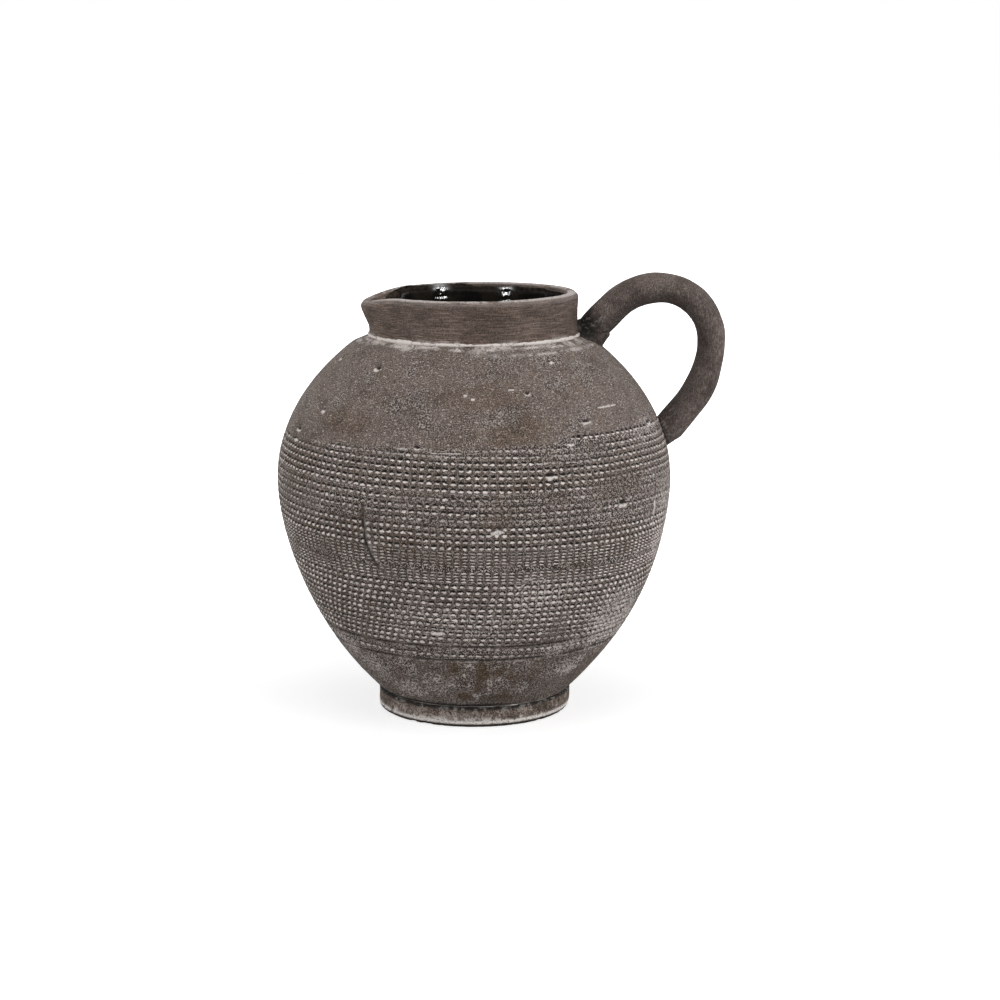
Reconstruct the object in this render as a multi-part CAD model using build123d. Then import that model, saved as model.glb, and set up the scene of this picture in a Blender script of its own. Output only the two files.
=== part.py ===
from build123d import *
from math import cos, radians, sin, tan
import os

# A round-bellied earthenware jug with one rolled handle and a pulled pouring lip.
# Millimetres, +Z up. The origin is the middle of the foot's underside, on the jug's axis.
# The handle is on +X and the pouring lip on -X.

# Foot
foot_radius = 57.7
foot_height = 12.0
foot_edge_radius = 2.0
foot_step = 1.2             # how far the foot stands out past the body's start

# Body, in two halves that meet at the widest point
belly_radius = 117.4
bowl_height = 129.0         # foot's top to the widest point
dome_height = 79.6          # widest point to the break at the shoulder
body_wall = 8.0
bowl_start_angle = 42.7     # rise of the wall where it leaves the foot
bowl_start_pull = 64.0      # how long the wall holds that rise
bowl_end_pull = 30.0        # how long it stays upright below the widest point
dome_start_pull = 18.0      # how long it stays upright above the widest point
dome_end_pull = 48.8        # how long it holds the slope that it has at the shoulder
dome_end_angle = 38.3       # slope of the wall at the shoulder
butted_edge = 2.0           # width of the outer edge where the two halves meet dry

# Grooves of the rolled ornament in three belts, and two incised lines below them
groove_count = 4            # grooves in each belt
groove_pitch = 3.8          # measured along the wall
groove_width = 2.0
groove_depth = 0.9
upper_belt_rise = 23.9      # widest point up to the top groove of the upper belt
middle_belt_drop = 5.1      # widest point down to the top groove of the middle belt
lower_belt_drop = 47.1      # widest point down to the top groove of the lower belt
line_width = 1.2
line_depth = 0.6
upper_line_height = 45.0    # above the foot
lower_line_height = 36.0

# Ledge that carries the neck
ledge_width = 10.2
ledge_rise = 4.6

# Neck and rim
neck_radius = 62.3          # outside, at its root
neck_wall = 8.5
neck_height = 24.5          # slip seam to the crest of the rim
neck_waist = 1.7            # how far the outside is drawn in above the root
rim_setback = 0.5           # how far the rim's outer edge stays inside the root
rim_crown = 2.9             # height of the rounded rim
neck_bend = 6.0             # length of the neck's bends at its root and at its rim

# Pouring lip
lip_half_angle = 46.0       # half the sweep of rim that is drawn out
lip_reach = 5.2             # how far the rim's outer edge is drawn out at the tip
lip_drop = 4.6              # how far that edge sinks at the tip
lip_throat = 6.5            # how far the rim's inner edge is drawn out
lip_depth = 16.0            # crest of the rim to where the lip's slope begins
lip_step = 5.5              # turn between the sections that shape the lip

# Slip that joins the pieces
slip_thickness = 0.8
slip_recess = 1.8           # how far the foot's slip stays inside the joint
bead_width = 1.6            # slip squeezed out round the neck's root
bead_height = 1.4
bead_bulge = 0.8            # share of its width that the bead still has half way up

# Handle
handle_radius = 8.8
handle_root_gap = 2.7       # neck's root to the handle's centre line on the ledge
handle_rise_angle = 44.7    # steepness at the upper root
handle_rise = 28.8          # centre line's top above its upper root
handle_standoff = 23.3      # centre line's outermost point beyond the belly
handle_fall_angle = 51.2    # steepness at the lower root
lower_root_height = 25.0    # lower root above the widest point
corner_share = 0.66        # share of the shorter run that the outer corner's bend takes
bend_fill = 0.98            # share of the rest of a run that the bend at its other end takes

# Clay pressed round the handle's roots
upper_luting_spread = 2.4   # thickness where it meets the wall
upper_luting_height = 11.0
lower_luting_spread = 1.2
lower_luting_height = 5.0
luting_edge = 0.5           # thickness where it runs out on the handle

# Glaze inside
glaze_thickness = 0.6

# Heights and radii that follow
belly_height = foot_height + bowl_height
shoulder_height = belly_height + dome_height
shoulder_radius = neck_radius + ledge_width
seat_height = shoulder_height + ledge_rise
neck_foot = seat_height + slip_thickness
rim_height = neck_foot + neck_height
neck_bore = neck_radius - neck_wall
glaze_top = rim_height - lip_depth


def at(radius, height, turn=0.0):
    """A point at a radius and a height, on the half plane at a turn about the axis."""
    return Vector(radius * cos(radians(turn)), radius * sin(radians(turn)), height)


def along(point, angle, distance):
    """The point at a distance from another, in a direction in the plane of the handle."""
    return point + at(cos(radians(angle)), sin(radians(angle))) * distance


def slab(radius, low, high):
    """A rectangle from the axis to a radius, between two heights."""
    corners = [at(0, low), at(radius, low), at(radius, high), at(0, high)]
    return make_face(Polyline(*corners, close=True))


def spin(section):
    """The solid that a section makes when it turns about the axis."""
    return revolve(section, Axis.Z)


def body_curves(inset):
    """The bowl's and the dome's curves at a depth below the outside of the body."""
    foot = along(at(foot_radius - foot_step, foot_height), bowl_start_angle + 90, inset)
    belly = at(belly_radius - inset, belly_height)
    shoulder_angle = 180 - dome_end_angle
    shoulder = along(at(shoulder_radius, shoulder_height), shoulder_angle + 90, inset)
    slimmer = 1 - inset / belly_radius
    bowl = Bezier(
        foot,
        along(foot, bowl_start_angle, bowl_start_pull * slimmer),
        along(belly, -90, bowl_end_pull * slimmer),
        belly,
    )
    dome = Bezier(
        belly,
        along(belly, 90, dome_start_pull * slimmer),
        along(shoulder, -dome_end_angle, dome_end_pull * slimmer),
        shoulder,
    )
    return bowl, dome


def share_at(curve, height):
    """How far along a rising curve a height is, as a share of its length."""
    low = 0.0
    high = 1.0
    for _ in range(40):
        middle = (low + high) / 2
        if (curve @ middle).Z < height:
            low = middle
        else:
            high = middle
    return low


def notch(curve, share, width, depth):
    """The section of a groove across a rising curve of the body's outside."""
    middle = curve @ share
    run = curve % share
    out = Vector(run.Z, 0, -run.X)
    mouth = middle + out * depth
    corners = [middle - out * depth, mouth + run * width, mouth - run * width]
    return make_face(Polyline(*corners, close=True))


def belt(curve, height):
    """The sections of one belt of grooves, from the height of its top groove downwards."""
    top = share_at(curve, height)
    step = groove_pitch / curve.length
    return [notch(curve, top - step * row, groove_width, groove_depth) for row in range(groove_count)]


def ornament():
    """The sections of all grooves and incised lines of the body."""
    bowl, dome = body_curves(0)
    cuts = belt(dome, belly_height + upper_belt_rise)
    cuts += belt(bowl, belly_height - middle_belt_drop)
    cuts += belt(bowl, belly_height - lower_belt_drop)
    for rise in (upper_line_height, lower_line_height):
        share = share_at(bowl, foot_height + rise)
        cuts.append(notch(bowl, share, line_width, line_depth))
    return cuts


def filled_body():
    """The outside of the body as one filled section, from the foot's top to the neck's seat."""
    bowl, dome = body_curves(0)
    rest = Polyline(
        dome @ 1,
        at(neck_radius, seat_height),
        at(0, seat_height),
        at(0, foot_height),
        bowl @ 0,
    )
    return make_face([bowl, dome, rest])


def cavity(inset, top):
    """The section of the hollow inside, from the floor to a height in the neck."""
    bowl, dome = body_curves(inset)
    depth = inset - body_wall
    floor = foot_height + depth
    bore = neck_bore - depth
    wall = bowl @ 0
    shoulder = dome @ 1
    floor_radius = wall.X - (wall.Z - floor) / tan(radians(bowl_start_angle))
    throat = shoulder.Z + (shoulder.X - bore) * ledge_rise / ledge_width
    rest = Polyline(
        shoulder,
        at(bore, throat),
        at(bore, top),
        at(0, top),
        at(0, floor),
        at(floor_radius, floor),
        wall,
    )
    return make_face([bowl, dome, rest])


def neck_section(turn, lip, filled=False):
    """The neck's section at a turn, with its rim drawn out by a share of the pouring lip."""
    root = at(neck_radius, neck_foot, turn)
    crest_radius = neck_radius - neck_wall / 2
    edge_height = rim_height - rim_crown
    outer_radius = neck_radius - rim_setback + lip_reach * lip
    outer_height = edge_height - lip_drop * lip
    inner_radius = neck_bore + lip_throat * lip
    inner_height = edge_height - lip_drop * lip * lip_reach / lip_throat
    outer_rim = at(outer_radius, outer_height, turn)
    inner_rim = at(inner_radius, inner_height, turn)
    crest = at(crest_radius + lip_throat * lip, rim_height - lip_drop * lip, turn)
    outside = Bezier(
        root,
        at(neck_radius - neck_waist, neck_foot + neck_bend, turn),
        at(outer_radius - rim_setback, outer_height - neck_bend, turn),
        outer_rim,
    )
    rim = ThreePointArc(outer_rim, crest, inner_rim)
    if filled:
        rest = Polyline(
            inner_rim,
            at(0, edge_height, turn),
            at(0, neck_foot, turn),
            root,
        )
        return make_face([outside, rim, rest])
    throat = at(neck_bore, rim_height - lip_depth, turn)
    bore_bend = at(neck_bore, (throat.Z + inner_height) / 2, turn)
    inside = Bezier(inner_rim, bore_bend, throat)
    rest = Polyline(throat, at(neck_bore, neck_foot, turn), root)
    return make_face([outside, rim, inside, rest])


def make_base_disc():
    """The solid foot, which is also the floor of the jug."""
    corner = at(foot_radius - foot_edge_radius, foot_edge_radius)
    edge = ThreePointArc(
        at(foot_radius - foot_edge_radius, 0),
        along(corner, -45, foot_edge_radius),
        at(foot_radius, foot_edge_radius),
    )
    rest = Polyline(
        edge @ 1,
        at(foot_radius, foot_height),
        at(0, foot_height),
        at(0, 0),
        edge @ 0,
    )
    return spin(make_face([edge, rest]))


def make_body():
    """The two halves of the body and the slip between them and under them."""
    hollow = cavity(body_wall, seat_height + slip_thickness)
    wall = filled_body() - hollow
    for cut in ornament():
        wall -= cut
    waist_film = slab(
        belly_radius - butted_edge,
        belly_height - slip_thickness / 2,
        belly_height + slip_thickness / 2,
    )
    bowl_bottom = foot_height + slip_thickness
    bowl_slab = slab(2 * belly_radius, bowl_bottom, belly_height)
    dome_slab = slab(2 * belly_radius, belly_height, seat_height)
    lower_body = wall & bowl_slab
    upper_body = wall & dome_slab
    foot_film = slab(foot_radius - slip_recess, foot_height, bowl_bottom)
    return {
        "lower_body": spin(lower_body - waist_film),
        "upper_body": spin(upper_body - waist_film),
        "waist_slip_seam": spin(wall & waist_film),
        "foot_slip_seam": spin(foot_film - hollow),
    }


def make_neck_slip():
    """The film under the neck, with the bead that was squeezed out round its root."""
    film = slab(neck_radius, seat_height, neck_foot) - slab(neck_bore, seat_height, neck_foot)
    slope = ledge_rise / ledge_width
    outer_foot = at(neck_radius + bead_width, seat_height - bead_width * slope)
    top = at(neck_radius, neck_foot + bead_height)
    swell = at(neck_radius + bead_width * bead_bulge, (outer_foot.Z + top.Z) / 2)
    inner_foot = at(neck_radius - neck_waist, neck_foot)
    rest = Polyline(top, inner_foot, at(neck_radius, seat_height), outer_foot)
    bead = make_face([ThreePointArc(outer_foot, swell, top), rest])
    return spin(film + bead - neck_section(0, 0, filled=True))


def make_neck():
    """The collar of the neck, plain all round but for the lip opposite the handle."""
    first = 180 - lip_half_angle
    last = 180 + lip_half_angle
    plain = revolve(neck_section(last, 0), Axis.Z, 360 - 2 * lip_half_angle)
    steps = round((last - first) / lip_step)
    sections = []
    for step in range(steps + 1):
        share = step / steps
        drawn = sin(radians(180 * share)) ** 2
        sections.append(neck_section(first + (last - first) * share, drawn))
    return plain + loft(sections)


def dome_point(height):
    """The point on the outside of the dome at a height."""
    dome = body_curves(0)[1]
    return dome @ share_at(dome, height)


def handle_roots():
    """The points where the handle's centre line meets the ledge and the dome."""
    slope = ledge_rise / ledge_width
    upper = at(neck_radius + handle_root_gap, seat_height - handle_root_gap * slope)
    lower = dome_point(belly_height + lower_root_height)
    return upper, lower


def handle_path():
    """The handle's centre line: straight out of both roots, with three bends between them."""
    upper, lower = handle_roots()
    top = upper.Z + handle_rise
    side = belly_radius + handle_standoff
    first = at(upper.X + handle_rise / tan(radians(handle_rise_angle)), top)
    corner = at(side, top)
    last = at(side, lower.Z + (side - lower.X) * tan(radians(handle_fall_angle)))
    top_run = side - first.X
    side_run = top - last.Z
    corner_radius = corner_share * min(top_run, side_run)
    first_turn = tan(radians(handle_rise_angle / 2))
    last_turn = tan(radians((90 - handle_fall_angle) / 2))
    first_radius = bend_fill * (top_run - corner_radius) / first_turn
    last_radius = bend_fill * (side_run - corner_radius) / last_turn
    buried = 2 * handle_radius
    return FilletPolyline(
        along(upper, handle_rise_angle, -buried),
        first,
        corner,
        last,
        along(lower, handle_fall_angle, -buried),
        radius=[first_radius, corner_radius, last_radius],
    )


def make_luting(root, angle, height, spread):
    """A cone of clay round a straight root of the handle, before it is fitted."""
    foot = along(root, angle, -height)
    axis = Plane(foot, z_dir=along(Vector(), angle, 1))
    foot_spread = 2 * spread - luting_edge
    cone = Cone(
        handle_radius + foot_spread,
        handle_radius + luting_edge,
        2 * height,
        align=(Align.CENTER, Align.CENTER, Align.MIN),
    )
    return axis * cone


def make_handle(seam):
    """The rolled coil and the clay round its roots, fitted to the body and the neck."""
    upper, lower = handle_roots()
    path = handle_path()
    coil = sweep(Plane(path @ 0, z_dir=path % 0) * Circle(handle_radius), path)
    neck_core = slab(neck_radius, seat_height, neck_foot) + neck_section(0, 0, filled=True)
    wall = spin(filled_body())
    neck = spin(neck_core)
    upper_luting = make_luting(upper, handle_rise_angle, upper_luting_height, upper_luting_spread)
    lower_luting = make_luting(lower, handle_fall_angle, lower_luting_height, lower_luting_spread)
    return {
        "handle_coil": coil - wall - neck - seam,
        "handle_upper_luting": upper_luting - coil - wall - neck - seam,
        "handle_lower_luting": lower_luting - coil - wall,
    }


def make_glaze():
    """The skin of glaze over the whole inside, up to the foot of the pouring lip."""
    section = cavity(body_wall, glaze_top) - cavity(body_wall + glaze_thickness, glaze_top)
    return spin(section)


seam = make_neck_slip()
nodes = {"base_disc": make_base_disc()}
nodes |= make_body()
nodes["neck_slip_seam"] = seam
nodes["neck_collar"] = make_neck()
nodes |= make_handle(seam)
nodes["glaze_lining"] = make_glaze()

os.makedirs("parts", exist_ok=True)
for name, solid in nodes.items():
    export_step(solid, f"parts/{name}.step")
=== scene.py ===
import math

import bpy
import numpy as np
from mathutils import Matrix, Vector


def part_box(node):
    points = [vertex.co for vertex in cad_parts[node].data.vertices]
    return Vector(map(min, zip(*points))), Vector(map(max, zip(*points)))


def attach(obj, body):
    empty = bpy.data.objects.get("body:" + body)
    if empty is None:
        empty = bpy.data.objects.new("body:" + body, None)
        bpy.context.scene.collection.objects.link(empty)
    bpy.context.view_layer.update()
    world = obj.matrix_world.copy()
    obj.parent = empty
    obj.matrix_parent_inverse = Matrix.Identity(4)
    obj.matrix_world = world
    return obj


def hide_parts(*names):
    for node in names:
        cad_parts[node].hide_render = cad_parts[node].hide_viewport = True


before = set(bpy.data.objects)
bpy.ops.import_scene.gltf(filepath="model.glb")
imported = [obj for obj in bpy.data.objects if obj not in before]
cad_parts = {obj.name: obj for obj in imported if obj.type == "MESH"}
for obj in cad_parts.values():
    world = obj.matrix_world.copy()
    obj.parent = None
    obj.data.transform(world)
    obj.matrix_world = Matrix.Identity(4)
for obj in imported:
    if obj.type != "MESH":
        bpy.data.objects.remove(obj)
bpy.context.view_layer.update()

# Lengths here are in millimetres. Turns are measured about the jug's axis, from the front (-Y)
# towards the handle (+X). The pouring lip is at a turn of -90 degrees.
MM = 0.001
LIP_TURN = -math.pi / 2
HANDLE_TURN = math.pi / 2


def edges(node):
    """A CAD node's lowest and highest corner in millimetres."""
    low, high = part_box(node)
    return np.array(low) / MM, np.array(high) / MM


# Sizes that the CAD nodes give
foot_radius = edges("base_disc")[1][0]
foot_height = edges("base_disc")[1][2]
bowl_bottom = edges("lower_body")[0][2]
belly_height = edges("lower_body")[1][2]
belly_radius = edges("upper_body")[1][0]
seat_height = edges("upper_body")[1][2]
neck_foot = edges("neck_collar")[0][2]
rim_height = edges("neck_collar")[1][2]
neck_radius = edges("neck_collar")[1][0]
coil_high = edges("handle_coil")[1]
coil_radius = coil_high[1]

# Curves of the part, as its source has them
foot_step = 1.2
body_wall = 8.0
bowl_start_angle = math.radians(42.7)
bowl_start_pull = 64.0
bowl_end_pull = 30.0
dome_start_pull = 18.0
dome_end_pull = 48.8
dome_end_angle = math.radians(38.3)
butted_edge = 2.0
film_half = 0.4
ledge_width = 10.2
ledge_rise = 4.6
neck_wall = 8.5
neck_waist = 1.7
rim_setback = 0.5
rim_crown = 2.9
neck_bend = 6.0
lip_half_angle = math.radians(46.0)
lip_reach = 5.2
lip_drop = 4.6
lip_throat = 6.5
lip_depth = 16.0
handle_root_gap = 2.7
handle_rise_angle = math.radians(44.7)
handle_fall_angle = math.radians(51.2)
lower_root_height = 25.0
corner_share = 0.66
bend_fill = 0.98
neck_bore = neck_radius - neck_wall
shoulder_radius = neck_radius + ledge_width
shoulder_height = seat_height - ledge_rise

# How finely the surfaces are divided
BODY_COLUMNS = 1300
FOOT_COLUMNS = 720
NECK_COLUMNS = 840
NECK_SLIP_COLUMNS = 900
GLAZE_COLUMNS = 540
HANDLE_SIDES = 120
LUTING_SIDES = 180
BAND_STEP = 0.43
PLAIN_STEP = 0.8
INNER_STEP = 14
HANDLE_STEP = 0.8

# Fixed numbers of the noise
HASH_SIZE = 8192
HASH_PRIMES = (73856093, 19349663, 83492791)
HASH_SHIFT = 13
NOISE_SHIFT = 7.31


# Small helpers for shapes

def smooth(low, high, value):
    """0 below low, 1 above high, and a soft step between them."""
    t = np.clip((value - low) / (high - low), 0, 1)
    return t * t * (3 - 2 * t)


def bump(value, centre, width):
    """A soft hump of height 1."""
    return np.exp(-((value - centre) / width) ** 2)


def hashed(seed, *keys):
    """A fixed value between 0 and 1 for each set of whole-number keys."""
    table = np.random.default_rng(seed).random(HASH_SIZE)
    mixed = np.zeros_like(keys[0])
    for key, prime in zip(keys, HASH_PRIMES):
        mixed = mixed ^ (key * prime)
    return table[(mixed ^ (mixed >> HASH_SHIFT)) & (HASH_SIZE - 1)]


def turned_lattice(first, second):
    """A rotation that turns the noise's lattice away from the jug's axes."""
    cosine = math.cos(first)
    sine = math.sin(first)
    about_x = np.array([[1, 0, 0], [0, cosine, -sine], [0, sine, cosine]])
    cosine = math.cos(second)
    sine = math.sin(second)
    about_z = np.array([[cosine, -sine, 0], [sine, cosine, 0], [0, 0, 1]])
    return about_x @ about_z


LATTICE = turned_lattice(0.7, 0.5)


def noise(points, size, seed):
    """Smooth noise between -1 and 1, with features of one size, at points in millimetres."""
    scaled = points @ LATTICE / size + NOISE_SHIFT * seed
    cell = np.floor(scaled).astype(np.int64)
    part = scaled - cell
    part = part * part * (3 - 2 * part)
    total = np.zeros(points.shape[:-1])
    for dx in (0, 1):
        for dy in (0, 1):
            for dz in (0, 1):
                weight = np.abs(1 - dx - part[..., 0])
                weight = weight * np.abs(1 - dy - part[..., 1])
                weight = weight * np.abs(1 - dz - part[..., 2])
                corner = hashed(seed, cell[..., 0] + dx, cell[..., 1] + dy, cell[..., 2] + dz)
                total += weight * (2 * corner - 1)
    return total


def noises(points, seed, *sizes):
    """Noise of several sizes at the same points, with seeds that count up."""
    return [noise(points, size, seed + index) for index, size in enumerate(sizes)]


def unit(vectors):
    """Vectors with the same directions and a length of 1."""
    return vectors / np.linalg.norm(vectors, axis=-1, keepdims=True)


def bezier(*points, count=400):
    """Points along a Bezier curve of degree two or three."""
    level = [np.array(point, float)[None, :] for point in points]
    t = np.linspace(0, 1, count)[:, None]
    while len(level) > 1:
        level = [(1 - t) * first + t * second for first, second in zip(level, level[1:])]
    return level[0]


def polar(angle, distance):
    return distance * np.array([math.cos(angle), math.sin(angle)])


def arc(centre, radius, start, stop, count):
    """Points on an arc between two angles."""
    return np.array([centre + polar(angle, radius) for angle in np.linspace(start, stop, count)])


def run_length(points):
    """How far along a line each of its points is."""
    steps = np.linalg.norm(np.diff(points, axis=0), axis=1)
    return np.concatenate([[0], np.cumsum(steps)])


def line_at(points, lengths):
    """The points at given lengths along a line."""
    total = run_length(points)
    columns = [np.interp(lengths, total, points[:, axis]) for axis in range(points.shape[1])]
    return np.stack(columns, axis=-1)


def evenly(points, step):
    """A line's points again, a step apart."""
    length = run_length(points)[-1]
    return line_at(points, np.linspace(0, length, max(2, round(length / step) + 1)))


def turns(columns):
    """Turns of one ring of points, as one row of a grid."""
    return np.linspace(-math.pi, math.pi, columns, endpoint=False)[None, :]


def placed(turn, radius, height):
    """Points in space for a turn, a radius and a height."""
    spot = np.broadcast_arrays(radius * np.sin(turn), -radius * np.cos(turn), height)
    return np.stack(spot, axis=-1)


def spun(turn, line):
    """Points in space for a line of radii and heights, spun about the jug's axis."""
    return placed(turn, line[:, :1], line[:, 1:])


def turn_gap(turn, other):
    """The turn from another turn, between minus and plus half a circle."""
    return (turn - other + math.pi) % (2 * math.pi) - math.pi


# Meshes made of rings of points

def add_mesh(name, points, quads, triangles=None, sharp=None, values=None):
    """A smooth mesh object from points in millimetres, with named values on its points."""
    if triangles is None:
        triangles = np.zeros((0, 3), int)
    mesh = bpy.data.meshes.new(name)
    corners = np.concatenate([quads.ravel(), triangles.ravel()])
    quad_starts = 4 * np.arange(len(quads))
    triangle_starts = 4 * len(quads) + 3 * np.arange(len(triangles))
    starts = np.concatenate([quad_starts, triangle_starts])
    mesh.vertices.add(len(points))
    mesh.vertices.foreach_set("co", (points * MM).ravel())
    mesh.loops.add(len(corners))
    mesh.loops.foreach_set("vertex_index", corners)
    mesh.polygons.add(len(starts))
    mesh.polygons.foreach_set("loop_start", starts)
    mesh.update(calc_edges=True)
    mesh.shade_smooth()
    if sharp is not None:
        ends = np.empty(2 * len(mesh.edges), int)
        mesh.edges.foreach_get("vertices", ends)
        marked = sharp[ends.reshape(-1, 2)].all(axis=1)
        flags = mesh.attributes.new("sharp_edge", "BOOLEAN", "EDGE")
        flags.data.foreach_set("value", marked)
    for key, amounts in (values or {}).items():
        layer = mesh.attributes.new(key, "FLOAT", "POINT")
        layer.data.foreach_set("value", np.asarray(amounts, np.float32).ravel())
    piece = bpy.data.objects.new(name, mesh)
    bpy.context.scene.collection.objects.link(piece)
    return piece


def ring_quads(rows, columns, closed):
    """Faces between rings of points; closed also joins the last ring to the first."""
    here = np.arange(rows * columns).reshape(rows, columns)
    if closed:
        above = np.roll(here, -1, axis=0)
    else:
        above = here[1:]
        here = here[:-1]
    beside = np.roll(here, -1, axis=1)
    corner = np.roll(above, -1, axis=1)
    return np.stack([here, beside, corner, above], axis=-1).reshape(-1, 4)


def add_rings(name, grid, poles=None, sharp_rows=(), values=None):
    """A closed mesh from a grid of rings: joined into a loop, or ending in a pole at both ends."""
    rows, columns = grid.shape[:2]
    points = grid.reshape(-1, 3)
    sharp = np.zeros((rows, columns), bool)
    sharp[list(sharp_rows)] = True
    sharp = sharp.ravel()
    named = {key: np.asarray(amounts).ravel() for key, amounts in (values or {}).items()}
    if poles is None:
        return add_mesh(name, points, ring_quads(rows, columns, True), None, sharp, named)
    first, last = len(points), len(points) + 1
    ring = np.arange(columns)
    beside = np.roll(ring, -1)
    end = (rows - 1) * columns
    low_fan = np.stack([beside, ring, np.full(columns, first)], axis=-1)
    high_fan = np.stack([end + ring, end + beside, np.full(columns, last)], axis=-1)
    points = np.concatenate([points, poles])
    sharp = np.concatenate([sharp, [False, False]])
    named = {key: np.concatenate([amounts, [0, 0]]) for key, amounts in named.items()}
    fans = np.concatenate([low_fan, high_fan])
    return add_mesh(name, points, ring_quads(rows, columns, False), fans, sharp, named)


# The body's curves

def body_curves(inset):
    """The bowl's and the dome's curve at a depth below the outside of the body."""
    foot_corner = np.array([foot_radius - foot_step, foot_height])
    foot = foot_corner + polar(bowl_start_angle + math.pi / 2, inset)
    belly = np.array([belly_radius - inset, belly_height])
    shoulder_corner = np.array([shoulder_radius, shoulder_height])
    shoulder = shoulder_corner + polar(1.5 * math.pi - dome_end_angle, inset)
    slimmer = 1 - inset / belly_radius
    upward = np.array([0, slimmer])
    bowl = bezier(
        foot,
        foot + polar(bowl_start_angle, bowl_start_pull * slimmer),
        belly - bowl_end_pull * upward,
        belly,
    )
    dome = bezier(
        belly,
        belly + dome_start_pull * upward,
        shoulder + polar(-dome_end_angle, dome_end_pull * slimmer),
        shoulder,
    )
    return bowl, dome


def inside_corners(floor):
    """The curves of the wall's inside, its radius at a floor, and the height where the bore starts."""
    bowl, dome = body_curves(body_wall)
    floor_radius = bowl[0][0] - (bowl[0][1] - floor) / math.tan(bowl_start_angle)
    throat = dome[-1][1] + (dome[-1][0] - neck_bore) * ledge_rise / ledge_width
    return bowl, dome, floor_radius, throat


bowl_curve, dome_curve = body_curves(0)
bowl_curve = bowl_curve[bowl_curve[:, 1] > bowl_bottom]
bowl_widening = (bowl_bottom - foot_height) / math.tan(bowl_start_angle)
bowl_start = [[foot_radius - foot_step + bowl_widening, bowl_bottom]]
ledge_end = [[neck_radius - 1, seat_height + ledge_rise / ledge_width]]
outside = np.concatenate([bowl_start, bowl_curve, dome_curve[1:], ledge_end])
outside_run = run_length(outside)
belly_run = np.interp(belly_height, outside[:, 1], outside_run)


def run_at(height):
    """How far up the outside of the body a height is."""
    return np.interp(height, outside[:, 1], outside_run)


def radius_at(height):
    return np.interp(height, outside[:, 1], outside[:, 0])


# Ornament of the body. A wheel with rows of teeth was rolled round it in a falling spiral.
BAND_TOP = 176.0
BAND_BOTTOM = 46.0
ROW_PITCH = 3.82
NICK_PITCH = 4.4
NICK_DEPTH = 0.8
WHEEL_ROWS = 7
FIRST_SLANTED_LAP = 6
COLUMN_SLANT = 0.42
LAP_HOLD = 0.3
LAP_ROWS = 16
SPIRAL_STEPS = 6000
SCAR_TURN = -31.6
SCAR_MIDDLE = 133
SCAR_BOW = 15
INCISED_LINES = (57.0, 48.0)

# Laps of the spiral: the number, the height of the wheel's upper edge on the front, how many times
# each row was struck, and how hard each row of the wheel was pressed
LAPS = (
    (-1, 187.6, 1, (0, 0, 0.8, 0, 0, 0, 0)),
    (0, 176, 1, (0.55, 0.6, 0.7, 1, 1, 1, 0.7)),
    (1, 164.4, 1, (0.3, 0.4, 0.5, 0.5, 0.5, 0.5, 0.45)),
    (2, 152.8, 1, (0.35, 0.4, 0.55, 0.6, 0.55, 0.45, 0.4)),
    (3, 140.6, 1, (0.4, 0.5, 0.7, 1, 1, 1, 0.6)),
    (4, 127.1, 2, (0.4, 0.5, 0.7, 0.75, 0.75, 0.65, 0.45)),
    (5, 113.1, 2, (0.45, 0.65, 0.75, 0.75, 0.65, 0.5, 0.35)),
    (6, 98.2, 1, (0.85, 1, 1, 0.85, 0.65, 0.6, 0.45)),
    (7, 84, 1, (0.35, 0.5, 0.6, 0.6, 0.55, 0.5, 0.4)),
    (8, 71, 1, (0.45, 0.6, 0.65, 0.65, 0.55, 0.5, 0.4)),
    (9, 56, 1, (0.5, 0.6, 0.4, 0.2, 0.1, 0, 0)),
    (10, 43, 1, (0, 0, 0, 0, 0, 0, 0)),
)

# Turn in degrees, height, half width, half height and strength of brown stains
STAINS = (
    (-8, 41.6, 3.4, 7, 0.95),
    (-4.4, 33, 2.8, 7, 0.9),
    (3.7, 40, 3.4, 10, 1),
    (2, 28.2, 2.8, 6, 0.9),
    (11, 40, 4.6, 6, 0.9),
    (16, 37, 4.4, 6.5, 0.85),
    (-4.5, 21, 5, 4, 0.9),
    (13, 20.6, 9, 3.6, 0.85),
    (26, 31, 4, 6, 0.6),
    (-34, 38, 16, 7, 0.35),
    (62, 33, 9, 16, 0.5),
    (14, 183, 16, 10, 0.45),
    (4, 200, 24, 12, 0.3),
    (20, 152, 22, 8, 0.4),
    (-45, 184, 20, 9, 0.35),
    (-38, 130, 20, 14, 0.4),
    (-50, 112, 34, 17, 0.6),
    (-62, 158, 26, 20, 0.4),
    (-52, 76, 34, 20, 0.45),
    (46, 150, 22, 9, 0.55),
    (34, 108, 24, 9, 0.45),
    (-20, 117, 14, 14, 0.5),
    (-6, 114, 12, 9, 0.5),
    (8, 140, 14, 10, 0.35),
    (44, 118, 22, 12, 0.4),
    (134, 60, 30, 24, 0.5),
    (170, 190, 26, 14, 0.4),
    (-132, 120, 30, 16, 0.4),
)

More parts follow.
